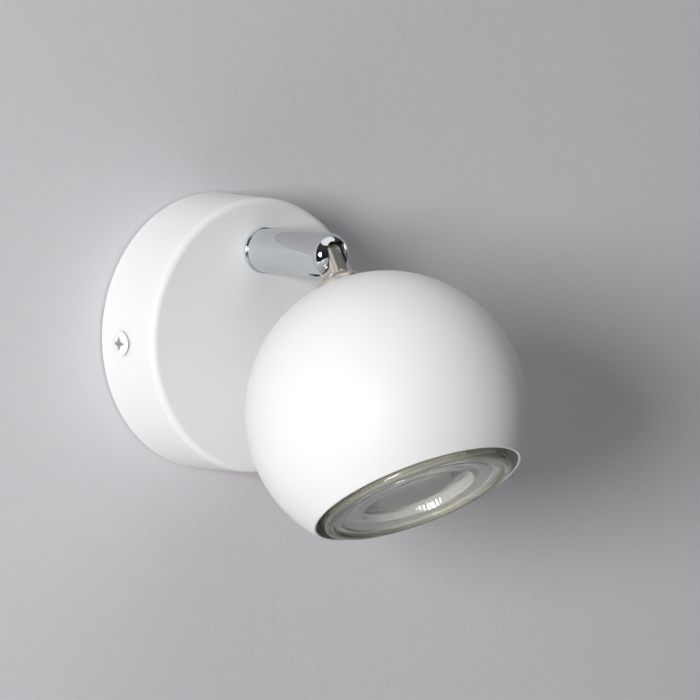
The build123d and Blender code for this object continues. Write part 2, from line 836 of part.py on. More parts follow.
with BuildPart() as heat_sink:
    with BuildSketch(section(lamp)):
        with BuildLine():
            Polyline(
                (heat_sink_dia / 2, cap_length),
                (heat_sink_top_dia / 2, board_back),
                (heat_sink_dia / 2 - heat_sink_wall, board_back),
                (heat_sink_dia / 2 - heat_sink_wall, cap_length),
                (heat_sink_dia / 2, cap_length),
            )
        make_face()
    revolve(axis=axis_of(head))

with BuildPart() as led_board:
    with BuildSketch(lamp.offset(board_back)):
        Circle(board_dia / 2)
    extrude(amount=board_thick)

with BuildPart() as led_chips:
    with BuildSketch(lamp.offset(board_top)):
        Rectangle(chip_size, chip_size)
        with PolarLocations(chip_ring_dia / 2, chip_count):
            Rectangle(chip_size, chip_size)
    extrude(amount=chip_thick)

choke_centre = lamp.from_local_coords((driver_thick / 2, 0, cap_floor + driver_length / 2))
choke = Plane(origin=choke_centre, x_dir=head.y_dir, z_dir=head.x_dir)
with BuildPart() as driver_board:
    with BuildSketch(lamp.offset(cap_floor)):
        Rectangle(driver_thick, driver_width)
    extrude(amount=driver_length)
    with BuildSketch(choke):
        Circle(choke_dia / 2)
    extrude(amount=choke_thick)

# Leads: terminal block to nipple, through the arm, over the knuckle's back into its stub, to the contacts
lead_side = (lead_dia + lead_gap) / 2
terminal_out = bracket_gauge + barrel_out
lead_join = nipple_start + (nipple_end - nipple_start) / 2
arm_lead_end = slot_start - arm_bore / 2
base_leads = wires(
    [
        (
            (side * pole_pitch, -terminal_out, block_up + clamp_row / 2),
            (side * pole_pitch, -terminal_out, -2.0),
            (side * lead_side, -6.0, 11.0),
            (side * lead_side, -5.5, arm_up),
            (side * lead_side, -lead_join, arm_up),
        )
        for side in (-1, 1)
    ],
    (5.0, 5.0, 5.5),
)
earth_lead = wires(
    [
        (
            (0, -terminal_out, block_up + clamp_row / 2),
            (0, -terminal_out, -4.0),
            (0.5, crimp_start.Y, 0),
            (earth_x - tag_dia / 2 - lead_dia, crimp_start.Y, 0),
        )
    ],
    (2.0, 1.5),
)
arm_leads = wires(
    [
        ((side * lead_side, -lead_join, arm_up), (side * lead_side, -arm_lead_end, arm_up))
        for side in (-1, 1)
    ],
    (),
)
lead_behind_pivot = (eye_dia / 2 + slot_back) / 2
lead_turn_in = lead_hole_mouth - lead_way * lead_run
lead_turn_down = lead_hole_mouth + lead_way * lead_hole_length
stub_middle = (flange_seat + stub_end) / 2
knuckle_leads = wires(
    [
        (
            Vector(side * lead_side, -arm_lead_end, arm_up),
            Vector(side * lead_side, -pivot_out + lead_behind_pivot, arm_up),
            Vector(side * lead_side, lead_turn_in.Y, lead_turn_in.Z),
            Vector(side * lead_side, lead_turn_down.Y, lead_turn_down.Z),
            head.from_local_coords((side * lead_side, 0, stub_middle)),
        )
        for side in (-1, 1)
    ],
    (lead_bend, lead_bend, lead_bend),
)
tail_end = recess_start - contact_tail
lead_turn = (tail_end + holder_back) / 2
head_leads = wires(
    [
        (
            head.from_local_coords((side * lead_side, 0, stub_middle)),
            head.from_local_coords((side * lead_side, 0, stub_end)),
            head.from_local_coords((side * lead_side, side * pin_radius * 0.4, lead_turn)),
            head.from_local_coords((0, side * pin_radius, lead_turn)),
            head.from_local_coords((0, side * pin_radius, tail_end)),
        )
        for side in (-1, 1)
    ],
    (1.2, 1.2, 0.75),
)

os.makedirs("parts", exist_ok=True)
pieces = {
    "base_cover": base_cover,
    "wall_bracket": wall_bracket,
    "cover_screws": cover_screws,
    "terminal_block": terminal_block,
    "terminal_barrels": terminal_barrels,
    "terminal_screws": terminal_screws,
    "block_screws": block_screws,
    "earth_screw": earth_screw,
    "earth_tag": earth_tag,
    "earth_lead": earth_lead,
    "base_leads": base_leads,
    "arm_tube": arm_tube,
    "pivot_screw": pivot_screw,
    "foot_ring": foot_ring,
    "arm_nipple": arm_nipple,
    "stop_washer": stop_washer,
    "spring_washer": spring_washer,
    "arm_nut": arm_nut,
    "arm_leads": arm_leads,
    "knuckle": knuckle,
    "knuckle_leads": knuckle_leads,
    "shade": shade,
    "crown_washer": crown_washer,
    "head_nut": head_nut,
    "holder_bracket": holder_bracket,
    "lamp_holder": lamp_holder,
    "holder_contacts": holder_contacts,
    "holder_screws": holder_screws,
    "head_leads": head_leads,
    "lamp_cap": lamp_cap,
    "lamp_pins": lamp_pins,
    "lamp_glass": lamp_glass,
    "lamp_optic": lamp_optic,
    "heat_sink": heat_sink,
    "led_board": led_board,
    "led_chips": led_chips,
    "driver_board": driver_board,
}
for name, piece in pieces.items():
    piece.part.label = name
    export_step(piece.part, f"parts/{name}.step")
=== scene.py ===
import json
from functools import cache
from math import ceil, cos, pi, radians, sin

import bmesh
import bpy
from bpy.props import FloatProperty, FloatVectorProperty, IntProperty, PointerProperty
from bpy.types import Operator, Panel, PropertyGroup
from mathutils import Matrix, Vector


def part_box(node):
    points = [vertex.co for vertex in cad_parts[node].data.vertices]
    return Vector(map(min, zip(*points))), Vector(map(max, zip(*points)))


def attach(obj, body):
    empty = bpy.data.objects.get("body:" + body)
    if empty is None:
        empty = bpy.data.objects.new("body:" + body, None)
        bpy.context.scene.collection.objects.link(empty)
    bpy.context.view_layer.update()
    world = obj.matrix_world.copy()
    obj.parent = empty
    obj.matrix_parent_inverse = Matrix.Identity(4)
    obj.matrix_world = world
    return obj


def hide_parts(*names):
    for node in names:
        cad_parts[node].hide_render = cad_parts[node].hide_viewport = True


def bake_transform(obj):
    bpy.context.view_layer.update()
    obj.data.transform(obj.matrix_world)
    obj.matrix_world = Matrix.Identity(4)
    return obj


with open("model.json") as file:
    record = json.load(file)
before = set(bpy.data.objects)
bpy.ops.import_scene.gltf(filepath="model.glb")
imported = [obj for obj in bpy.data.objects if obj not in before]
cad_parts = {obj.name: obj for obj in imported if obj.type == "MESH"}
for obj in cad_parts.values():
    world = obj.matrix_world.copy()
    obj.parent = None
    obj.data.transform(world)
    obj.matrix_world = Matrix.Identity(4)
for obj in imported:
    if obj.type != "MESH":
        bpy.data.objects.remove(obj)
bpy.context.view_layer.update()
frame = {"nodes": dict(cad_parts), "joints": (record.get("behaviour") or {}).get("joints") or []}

bl_info = {
    "name": "Ball spotlight",
    "version": (1, 0, 0),
    "blender": (4, 5, 0),
    "location": "3D View > Sidebar > Spotlight",
    "description": "Dresses the wall spotlight: paint, plating, glass and the fine optics of its lamp",
    "category": "Add Mesh",
}

nodes = frame["nodes"]
joints = {joint["name"]: joint for joint in frame["joints"]}
mm = 0.001
weld = 0.001 * mm  # points nearer than this become one
on_axis = 1e-9  # a ring smaller than this closes in one point
round_sides = 64
sharp_angle = 35.0  # degrees: faces that meet more sharply keep their edge


def axis_frame(origin, z_dir):
    """A frame on an axis across X: x to the right, z along the axis."""
    z = Vector(z_dir).normalized()
    x = Vector((1, 0, 0))
    return Matrix.Translation(Vector(origin)) @ Matrix((x, z.cross(x), z)).transposed().to_4x4()


lamp_frame = axis_frame(joints["lamp_twist"]["pos_m"], joints["lamp_twist"]["axis"])
knuckle_frame = axis_frame(joints["head_tilt"]["pos_m"], joints["lamp_twist"]["axis"])


class SpotlightSizes(PropertyGroup):
    """Sizes of the pieces made here"""

    lens_radius: FloatProperty(
        name="Lens radius", description="Outside of the lamp's lens",
        default=22.5 * mm, unit="LENGTH",
    )
    lens_face: FloatProperty(
        name="Lens face", description="Lens face above the lamp's cap",
        default=40.9 * mm, unit="LENGTH",
    )
    lens_disc: FloatProperty(
        name="Lens disc", description="Thickness of the lens at its edge",
        default=2.3 * mm, unit="LENGTH",
    )
    ring_radius: FloatProperty(
        name="Ring radius", description="Moulded ring outside the well",
        default=20 * mm, unit="LENGTH",
    )
    ring_groove: FloatProperty(
        name="Ring groove", description="Radius of the round groove that is the moulded ring",
        default=0.55 * mm, unit="LENGTH",
    )
    lens_chamfer: FloatProperty(
        name="Lens chamfer", description="Chamfer round the lens's face",
        default=0.275 * mm, unit="LENGTH",
    )
    well_radius: FloatProperty(
        name="Well radius", description="Mouth of the fluted well",
        default=15 * mm, unit="LENGTH",
    )
    well_floor: FloatProperty(
        name="Well floor", description="Radius of the well's floor",
        default=14.3 * mm, unit="LENGTH",
    )
    well_depth: FloatProperty(
        name="Well depth", description="Depth of the well",
        default=2.8 * mm, unit="LENGTH",
    )
    flute_count: IntProperty(
        name="Flutes", description="Flutes round the well",
        default=90, min=8,
    )
    flute_depth: FloatProperty(
        name="Flute depth", description="Depth of each flute",
        default=0.13 * mm, unit="LENGTH",
    )
    dome_radius: FloatProperty(
        name="Dome radius", description="Beaded dome in the well",
        default=13.2 * mm, unit="LENGTH",
    )
    bead_circles: IntProperty(
        name="Bead circles", description="Circles of beads on the dome",
        default=15, min=1,
    )
    bead_height: FloatProperty(
        name="Bead height", description="Height of the dome's beads",
        default=0.11 * mm, unit="LENGTH",
    )
    cone_radius: FloatProperty(
        name="Cone radius", description="Widest part of the cone behind the lens",
        default=17 * mm, unit="LENGTH",
    )
    cone_tip: FloatProperty(
        name="Cone tip", description="Radius of the cone's tip",
        default=7.5 * mm, unit="LENGTH",
    )
    cone_end: FloatProperty(
        name="Cone end", description="Cone's tip above the lamp's cap",
        default=26 * mm, unit="LENGTH",
    )
    led_room: FloatProperty(
        name="LED room", description="Radius of the hollow over the LEDs",
        default=4.7 * mm, unit="LENGTH",
    )
    led_room_depth: FloatProperty(
        name="LED room depth", description="Depth of the hollow over the LEDs",
        default=3.5 * mm, unit="LENGTH",
    )
    screw_head: FloatProperty(
        name="Screw head", description="Radius of a cover screw's head",
        default=3.25 * mm, unit="LENGTH",
    )
    screw_rise: FloatProperty(
        name="Screw rise", description="Height of a cover screw's head",
        default=1.1 * mm, unit="LENGTH",
    )
    screw_gap: FloatProperty(
        name="Screw gap", description="Height of the neck under the head, and its step in from the rim",
        default=0.3 * mm, unit="LENGTH",
    )
    screw_rim: FloatProperty(
        name="Screw rim", description="Height of the bare rim of the head",
        default=0.25 * mm, unit="LENGTH",
    )
    screw_shank: FloatProperty(
        name="Screw shank", description="Radius of a cover screw's shank",
        default=2 * mm, unit="LENGTH",
    )
    screw_length: FloatProperty(
        name="Screw length", description="Shank under the head",
        default=6.5 * mm, unit="LENGTH",
    )
    cross_reach: FloatProperty(
        name="Cross reach", description="Centre of the recess to the tip of an arm",
        default=1.95 * mm, unit="LENGTH",
    )
    cross_waist: FloatProperty(
        name="Cross waist", description="Centre of the recess to an inner corner",
        default=0.95 * mm, unit="LENGTH",
    )
    cross_depth: FloatProperty(
        name="Cross depth", description="Depth of the recess",
        default=0.9 * mm, unit="LENGTH",
    )
    lead_step: FloatProperty(
        name="Lead step", description="Length of a lead between two cuts that let it bend",
        default=0.4 * mm, unit="LENGTH",
    )
    leads_behind: FloatProperty(
        name="Leads behind", description="Knuckle's pivot to the leads behind it",
        default=3.875 * mm, unit="LENGTH",
    )
    leads_hole: FloatVectorProperty(
        name="Leads' hole", description="Mouth of the neck's hole for the leads, from the pivot",
        default=(0, -3.25 * mm, 3.9 * mm), subtype="TRANSLATION", unit="LENGTH",
    )


class SpotlightFinishes(PropertyGroup):
    """Colours of the finishes"""

    paint: FloatVectorProperty(
        name="Powder coat", description="White of the base and shade",
        default=(0.85, 0.854, 0.856), subtype="COLOR", min=0, max=1,
    )
    chrome: FloatVectorProperty(
        name="Chrome", description="Plating of the arm",
        default=(0.68, 0.72, 0.75), subtype="COLOR", min=0, max=1,
    )
    nickel: FloatVectorProperty(
        name="Nickel", description="Plating of the knuckle",
        default=(0.80, 0.74, 0.68), subtype="COLOR", min=0, max=1,
    )
    zinc: FloatVectorProperty(
        name="Zinc", description="Plating of hidden steel parts",
        default=(0.60, 0.61, 0.62), subtype="COLOR", min=0, max=1,
    )
    glass: FloatVectorProperty(
        name="Glass", description="Tint of the lamp's bowl",
        default=(0.95, 0.94, 0.83), subtype="COLOR", min=0, max=1,
    )
    lens: FloatVectorProperty(
        name="Lens", description="Tint of the lamp's lens",
        default=(0.98, 0.975, 0.955), subtype="COLOR", min=0, max=1,
    )


class SpotlightStage(PropertyGroup):
    """Wall, floor, camera and lights"""

    camera_at: FloatVectorProperty(
        name="Camera", description="Where the camera stands",
        default=(-0.62175, -0.77579, 0.08521), subtype="TRANSLATION", unit="LENGTH",
    )
    camera_turn: FloatProperty(
        name="Turn", description="How far right of +Y the camera looks",
        default=0.7124775, subtype="ANGLE",
    )
    camera_drop: FloatProperty(
        name="Drop", description="How far below level the camera looks",
        default=0.0907727, subtype="ANGLE",
    )
    focal_length: FloatProperty(
        name="Focal length", description="Camera's lens in millimetres",
        default=191.97, unit="CAMERA", min=1,
    )
    aim: FloatVectorProperty(
        name="Aim", description="Where the lights point, near the arm's end",
        default=(0, -0.05, 0), subtype="TRANSLATION", unit="LENGTH",
    )
    key_at: FloatVectorProperty(
        name="Key place", description="Where the light at the left stands",
        default=(-1.479, -0.870, 0.178), subtype="TRANSLATION", unit="LENGTH",
    )
    key_power: FloatProperty(
        name="Key light", description="Watts of the light at the left",
        default=24.2, unit="POWER",
    )
    key_size: FloatProperty(
        name="Key size", description="Width of the light at the left",
        default=0.54, unit="LENGTH",
    )
    top_at: FloatVectorProperty(
        name="Top place", description="Where the light above stands",
        default=(0.05, -0.41, 1.25), subtype="TRANSLATION", unit="LENGTH",
    )
    top_power: FloatProperty(
        name="Top light", description="Watts of the light above",
        default=6.2, unit="POWER",
    )
    top_size: FloatProperty(
        name="Top size", description="Width of the light above and of the one behind the wall",
        default=1.6, unit="LENGTH",
    )
    behind_at: FloatVectorProperty(
        name="Place behind", description="Where the light behind the wall stands",
        default=(0.35, 1.0, 0.9), subtype="TRANSLATION", unit="LENGTH",
    )
    behind_power: FloatProperty(
        name="Light behind", description="Watts of the light behind the wall",
        default=18.0, unit="POWER",
    )
    room_light: FloatProperty(
        name="Room light", description="Light from the room, level and below",
        default=0.02,
    )
    room_top: FloatProperty(
        name="Ceiling light", description="Light from the room's ceiling",
        default=0.08,
    )
    room_seen: FloatProperty(
        name="Room seen", description="Brightness added to the room where the camera sees it",
        default=0.5,
    )
    wall: FloatVectorProperty(
        name="Wall", description="Wall paint",
        default=(0.735, 0.713, 0.745), subtype="COLOR", min=0, max=1,
    )
    wall_gap: FloatProperty(
        name="Wall gap", description="Air between the wall and the back of the base",
        default=0.5 * mm, unit="LENGTH",
    )
    wall_hole: FloatProperty(
        name="Wall hole", description="Radius of the wall's hole behind the base",
        default=34 * mm, unit="LENGTH",
    )
    wall_radius: FloatProperty(
        name="Wall radius", description="Outside of the wall",
        default=0.8, unit="LENGTH",
    )
    floor: FloatVectorProperty(
        name="Floor", description="Floor paint",
        default=(0.86, 0.86, 0.85), subtype="COLOR", min=0, max=1,
    )
    floor_drop: FloatProperty(
        name="Floor drop", description="Floor below the middle of the base",
        default=0.5, unit="LENGTH",
    )
    floor_radius: FloatProperty(
        name="Floor radius", description="Outside of the floor",
        default=1.0, unit="LENGTH",
    )


# Node trees

# Numbers of a Mix node's colour sockets, which share their names with others
colour_a, colour_b, colour_out = 6, 7, 2


def place(tree, kind, feeds=None, **options):
    """Adds a node with its options; each feed is a value or a socket to link."""
    node = tree.nodes.new(kind)
    for name, value in options.items():
        setattr(node, name, value)
    for socket, value in (feeds or {}).items():
        if isinstance(value, bpy.types.NodeSocket):
            tree.links.new(value, node.inputs[socket])
        else:
            node.inputs[socket].default_value = value
    return node


def effect(name, inputs, outputs):
    """An empty shader group with float or colour sockets, and its two ends."""
    group = bpy.data.node_groups.new(name, "ShaderNodeTree")
    kinds = {"colour": "NodeSocketColor", "value": "NodeSocketFloat"}
    for label, kind, default in inputs:
        socket = group.interface.new_socket(label, in_out="INPUT", socket_type=kinds[kind])
        socket.default_value = default
    for label, kind in outputs:
        group.interface.new_socket(label, in_out="OUTPUT", socket_type=kinds[kind])
    return group, place(group, "NodeGroupInput").outputs, place(group, "NodeGroupOutput").inputs


def spread(tree, factor, low, high):
    """Maps a 0 to 1 factor to low..high."""
    feeds = {"Value": factor, "To Min": low, "To Max": high}
    return place(tree, "ShaderNodeMapRange", feeds).outputs["Result"]


def times(tree, first, second):
    return place(tree, "ShaderNodeMath", {0: first, 1: second}, operation="MULTIPLY").outputs[0]


def plus(tree, first, second):
    return place(tree, "ShaderNodeMath", {0: first, 1: second}, operation="ADD").outputs[0]


def blend(tree, factor, first, second):
    """Goes from one colour to another."""
    feeds = {"Factor": factor, colour_a: first, colour_b: second}
    return place(tree, "ShaderNodeMix", feeds, data_type="RGBA").outputs[colour_out]


def noise(tree, where, scale, detail):
    feeds = {"Vector": where, "Scale": scale, "Detail": detail}
    return place(tree, "ShaderNodeTexNoise", feeds).outputs["Fac"]


tint_inputs = [("Colour", "colour", (0.8, 0.8, 0.8, 1)), ("Shade", "colour", (0.7, 0.7, 0.7, 1))]
skin_outputs = [("Colour", "colour"), ("Roughness", "value"), ("Height", "value")]


@cache
def grain_group():
    """Skin of paint, moulding or casting: a fine grain, and a broad drift of tint and gloss."""
    broad_share = 0.06
    own_inputs = [("Scale", "value", 900.0), ("Roughness", "value", 0.4),
                  ("Roughness spread", "value", 0.1)]
    group, given, put = effect("Skin grain", tint_inputs + own_inputs, skin_outputs)
    where = place(group, "ShaderNodeTexCoord").outputs["Object"]
    fine = noise(group, where, given["Scale"], detail=3.0)
    broad = noise(group, where, times(group, given["Scale"], broad_share), detail=4.0)
    swing = times(group, spread(group, broad, -1.0, 1.0), given["Roughness spread"])
    group.links.new(blend(group, broad, given["Colour"], given["Shade"]), put["Colour"])
    group.links.new(plus(group, given["Roughness"], swing), put["Roughness"])
    group.links.new(fine, put["Height"])
    return group


@cache
def plating_group():
    """Polished or plated metal: faint cloudy haze and fine hairlines."""
    hair_fineness = 40.0
    hair_lay = (1.0, 0.04, 1.0)
    own_inputs = [("Scale", "value", 160.0), ("Roughness", "value", 0.08), ("Haze", "value", 0.05),
                  ("Hairlines", "value", 0.04)]
    group, given, put = effect("Plating haze", tint_inputs + own_inputs, skin_outputs)
    where = place(group, "ShaderNodeTexCoord").outputs["Object"]
    cloud = noise(group, where, given["Scale"], detail=5.0)
    along = place(group, "ShaderNodeMapping", {"Vector": where, "Scale": hair_lay}).outputs["Vector"]
    hair = noise(group, along, times(group, given["Scale"], hair_fineness), detail=2.0)
    haze = times(group, cloud, given["Haze"])
    lines = times(group, hair, given["Hairlines"])
    group.links.new(blend(group, cloud, given["Colour"], given["Shade"]), put["Colour"])
    group.links.new(plus(group, plus(group, given["Roughness"], haze), lines), put["Roughness"])
    group.links.new(hair, put["Height"])
    return group


# Finishes

lens_shadow = (0.95, 0.95, 0.95, 1)
unfiltered = (1.0, 1.0, 1.0, 1)


def rgba(colour, factor=1.0):
    return (*[part * factor for part in colour], 1.0)


def surface(name, group, values, bump, **sockets):
    """A Principled material fed by an effect group, with plain values on its own sockets."""
    material = bpy.data.materials.new(name)
    material.use_nodes = True
    tree = material.node_tree
    tree.nodes.clear()
    coat = place(tree, "ShaderNodeGroup", values, node_tree=group)
    relief = {"Height": coat.outputs["Height"], "Distance": bump, "Strength": 1.0}
    feeds = {label.replace("_", " "): value for label, value in sockets.items()}
    feeds["Base Color"] = coat.outputs["Colour"]
    feeds["Roughness"] = coat.outputs["Roughness"]
    feeds["Normal"] = place(tree, "ShaderNodeBump", relief).outputs["Normal"]
    shader = place(tree, "ShaderNodeBsdfPrincipled", feeds)
    place(tree, "ShaderNodeOutputMaterial", {"Surface": shader.outputs["BSDF"]})
    return material


def skin(name, colour, scale, roughness, swing, bump, shade=0.97, **sockets):
    """Paint, plastic, ceramic or board."""
    values = {"Colour": rgba(colour), "Shade": rgba(colour, shade), "Scale": scale,
              "Roughness": roughness, "Roughness spread": swing}
    return surface(name, grain_group(), values, bump, **sockets)


def plate(name, colour, scale, roughness, haze, hairlines, bump, shade=0.95):
    """Bare or plated metal."""
    values = {"Colour": rgba(colour), "Shade": rgba(colour, shade), "Scale": scale,
              "Roughness": roughness, "Haze": haze, "Hairlines": hairlines}
    return surface(name, plating_group(), values, bump, Metallic=1.0)


def clear(name, colour, scale, roughness, bump, through, index):
    """A clear moulding, faintly cloudy so that it catches the light."""
    swing = roughness / 2
    return skin(name, colour, scale, roughness, swing, bump, Transmission_Weight=through, IOR=index)


def see_through(material, mask, tint):
    """Lets light pass straight on, tinted, where the mask is 1."""
    tree = material.node_tree
    shader = next(node for node in tree.nodes if node.type == "BSDF_PRINCIPLED")
    end = next(node for node in tree.nodes if node.type == "OUTPUT_MATERIAL")
    through = place(tree, "ShaderNodeBsdfTransparent", {"Color": tint})
    mix = place(tree, "ShaderNodeMixShader", {0: mask, 1: shader.outputs[0], 2: through.outputs[0]})
    tree.links.new(mix.outputs[0], end.inputs["Surface"])
    return material


def lit(material):
    """Lets light straight through to what stands behind a clear finish."""
    shadow = place(material.node_tree, "ShaderNodeLightPath").outputs["Is Shadow Ray"]
    return see_through(material, shadow, lens_shadow)


def one_sided(material):
    """Shows a finish from the front of its faces only."""
    behind = place(material.node_tree, "ShaderNodeNewGeometry").outputs["Backfacing"]
    return see_through(material, behind, unfiltered)


recipes = {
    "powder_coat": lambda name, colours: skin(
        name, colours.paint, scale=1100.0, roughness=0.5, swing=0.04, bump=6e-6, shade=0.985,
        Specular_IOR_Level=0.3,
    ),
    "chrome": lambda name, colours: plate(
        name, colours.chrome, scale=120.0, roughness=0.035, haze=0.03, hairlines=0.015, bump=2e-8,
    ),
    "nickel": lambda name, colours: plate(
        name, colours.nickel, scale=420.0, roughness=0.26, haze=0.16, hairlines=0.05, bump=2e-7, shade=0.8,
    ),
    "zinc": lambda name, colours: plate(
        name, colours.zinc, scale=420.0, roughness=0.28, haze=0.18, hairlines=0.06, bump=4e-7, shade=0.82,
    ),
    "pin_nickel": lambda name, colours: plate(
        name, colours.nickel, scale=300.0, roughness=0.2, haze=0.1, hairlines=0.04, bump=2e-7, shade=0.9,
    ),
    "brass": lambda name, colours: plate(
        name, colour=(0.74, 0.56, 0.27),
        scale=300.0, roughness=0.22, haze=0.14, hairlines=0.05, bump=2e-7, shade=0.85,
    ),
    "aluminium": lambda name, colours: plate(
        name, colour=(0.86, 0.86, 0.85),
        scale=700.0, roughness=0.4, haze=0.14, hairlines=0.05, bump=1e-6, shade=0.9,
    ),
    "nylon": lambda name, colours: skin(
        name, colour=(0.74, 0.73, 0.70), scale=1800.0, roughness=0.5, swing=0.06, bump=8e-6, shade=0.94,
    ),
    "cap_plastic": lambda name, colours: skin(
        name, colour=(0.78, 0.77, 0.75), scale=2200.0, roughness=0.42, swing=0.06, bump=5e-6, shade=0.95,
    ),
    "steatite": lambda name, colours: skin(
        name, colour=(0.80, 0.78, 0.72), scale=2600.0, roughness=0.62, swing=0.08, bump=1.2e-5, shade=0.9,
    ),
    "board_mask": lambda name, colours: skin(
        name, colour=(0.88, 0.88, 0.86), scale=1500.0, roughness=0.3, swing=0.05, bump=2e-6, shade=0.95,
    ),
    "phosphor": lambda name, colours: skin(
        name, colour=(0.83, 0.66, 0.18), scale=3000.0, roughness=0.55, swing=0.08, bump=4e-6, shade=0.88,
    ),
    "laminate": lambda name, colours: skin(
        name, colour=(0.07, 0.22, 0.11), scale=2400.0, roughness=0.4, swing=0.08, bump=4e-6, shade=0.8,
    ),
    "white_sleeve": lambda name, colours: skin(
        name, colour=(0.80, 0.79, 0.77), scale=1600.0, roughness=0.5, swing=0.06, bump=6e-6, shade=0.94,
    ),
    "earth_sleeve": lambda name, colours: skin(
        name, colour=(0.30, 0.46, 0.05), scale=1600.0, roughness=0.5, swing=0.06, bump=6e-6, shade=1.6,
    ),
    "clear_glass": lambda name, colours: clear(
        name, colours.glass, scale=90.0, roughness=0.015, bump=3e-6, through=0.9, index=1.5,
    ),
    "clear_lens": lambda name, colours: lit(clear(
        name, colours.lens, scale=140.0, roughness=0.01, bump=1e-6, through=0.84, index=1.49,
    )),
}


@cache
def finish(name):
    """Each finish is made once, from the colours of the scene."""
    return recipes[name](name, bpy.context.scene.spotlight_finishes)


def dress(finish_name, *names):
    """Gives a finish to carried-over nodes."""
    for name in names:
        materials = nodes[name].data.materials
        materials.clear()
        materials.append(finish(finish_name))


# Meshes


def fractions(steps, first=1):
    """Evenly spaced numbers up to 1, from 0 where the first step is 0."""
    return [step / steps for step in range(first, steps + 1)]


def lathe(rings, segments, inlay=()):
    """Rings of points (radius, height), or functions of the angle, turned about Z in their order.

    Bands whose number is in inlay take the piece's second finish."""
    mesh = bmesh.new()
    turns = [2 * pi * step / segments for step in range(segments)]
    rows = []
    for ring in rings:
        spots = [ring(turn) if callable(ring) else ring for turn in turns]
        if max(radius for radius, _ in spots) < on_axis:
            rows.append([mesh.verts.new((0, 0, spots[0][1]))] * segments)
            continue
        rows.append([
            mesh.verts.new((radius * cos(turn), radius * sin(turn), height))
            for turn, (radius, height) in zip(turns, spots)
        ])
    for band, (low, high) in enumerate(zip(rows, rows[1:])):
        for step in range(segments):
            after = (step + 1) % segments
            corners = dict.fromkeys([low[step], low[after], high[after], high[step]])
            if len(corners) > 2:
                mesh.faces.new(corners).material_index = int(band in inlay)
    bmesh.ops.recalc_face_normals(mesh, faces=mesh.faces)
    return mesh


def add_mesh(name, mesh, *materials):
    """Turns a bmesh into an object of the scene."""
    data = bpy.data.meshes.new(name)
    mesh.to_mesh(data)
    mesh.free()
    for material in materials:
        data.materials.append(material)
    added = bpy.data.objects.new(name, data)
    bpy.context.scene.collection.objects.link(added)
    return added


def soften(data, angle=sharp_angle):
    """Shades a mesh smooth, apart from edges sharper than the angle."""
    data.shade_smooth()
    data.set_sharp_from_angle(angle=radians(angle))


def piece(name, mesh, where, finishes, body, stands_for, angle=sharp_angle):
    """Turns a bmesh into a shaded piece that rides on a body."""
    mesh.transform(where)
    made_piece = add_mesh(name, mesh, *map(finish, finishes))
    soften(made_piece.data, angle)
    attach(made_piece, body)
    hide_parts(*stands_for)


# Pieces


class SPOTLIGHT_OT_paint(Operator):
    """Powder coat on the base and shade"""

    bl_idname = "spotlight.paint"
    bl_label = "Painted sheet steel"

    def execute(self, context):
        dress("powder_coat", "base_cover", "shade")
        return {"FINISHED"}


class SPOTLIGHT_OT_plating(Operator):
    """Chrome on the arm and nickel on the knuckle"""

    bl_idname = "spotlight.plating"
    bl_label = "Plated arm and knuckle"

    def execute(self, context):
        dress("chrome", "arm_tube", "foot_ring", "pivot_screw")
        dress("nickel", "knuckle")
        return {"FINISHED"}


class SPOTLIGHT_OT_hardware(Operator):
    """Zinc, nickel and brass on the hidden hardware"""

    bl_idname = "spotlight.hardware"
    bl_label = "Hidden hardware"

    def execute(self, context):
        dress("zinc", "wall_bracket", "arm_nut", "arm_nipple", "stop_washer", "spring_washer",
              "crown_washer", "head_nut", "holder_bracket", "holder_screws", "block_screws",
              "terminal_screws")
        dress("pin_nickel", "lamp_pins")
        dress("brass", "terminal_barrels", "earth_tag", "earth_screw", "holder_contacts")
        return {"FINISHED"}


class SPOTLIGHT_OT_insulation(Operator):
    """Plastic, ceramic and sleeved leads"""

    bl_idname = "spotlight.insulation"
    bl_label = "Terminal block, holder and leads"

    def execute(self, context):
        dress("nylon", "terminal_block")
        dress("steatite", "lamp_holder")
        dress("white_sleeve", "base_leads", "head_leads")
        dress("earth_sleeve", "earth_lead")
        return {"FINISHED"}


class SPOTLIGHT_OT_moving_leads(Operator):
    """The leads that cross a joint, in the arm and behind the knuckle, cut into short lengths"""

    bl_idname = "spotlight.moving_leads"
    bl_label = "Leads across the joints"

    def execute(self, context):
        sizes = context.scene.spotlight_sizes
        low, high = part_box("arm_leads")
        middle = (low + high) / 2
        foot = Vector((middle.x, high.y, middle.z))
        end = Vector((middle.x, low.y, middle.z))
        self.leads("arm_wires", "arm_leads", "base", "arm", foot, end, sizes.lead_step)
        behind = knuckle_frame.translation + Vector((0, sizes.leads_behind, 0))
        hole = knuckle_frame @ Vector(sizes.leads_hole)
        self.leads("knuckle_wires", "knuckle_leads", "arm", "head", behind, hole, sizes.lead_step)
        return {"FINISHED"}

    def leads(self, name, node, near, far, start, end, step):
        """A copy of a node's leads, cut across at every step along the way from start to end."""
        mesh = bmesh.new()
        mesh.from_mesh(nodes[node].data)
        mesh.transform(nodes[node].matrix_world)
        bmesh.ops.remove_doubles(mesh, verts=mesh.verts, dist=weld)
        way = end - start
        for part in fractions(ceil(way.length / step))[:-1]:
            every = [*mesh.verts, *mesh.edges, *mesh.faces]
            bmesh.ops.bisect_plane(mesh, geom=every, plane_co=start.lerp(end, part), plane_no=way)
        wires = add_mesh(name, mesh, finish("white_sleeve"))
        soften(wires.data)
        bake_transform(wires)
        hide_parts(node)


class SPOTLIGHT_OT_lamp_works(Operator):
    """What stands inside the lamp's bowl, and the bowl"""

    bl_idname = "spotlight.lamp_works"
    bl_label = "Lamp cap, bowl and works"

    def execute(self, context):
        dress("cap_plastic", "lamp_cap")
        dress("aluminium", "heat_sink")
        dress("board_mask", "led_board")
        dress("phosphor", "led_chips")
        dress("laminate", "driver_board")
        dress("clear_glass", "lamp_glass")
        return {"FINISHED"}


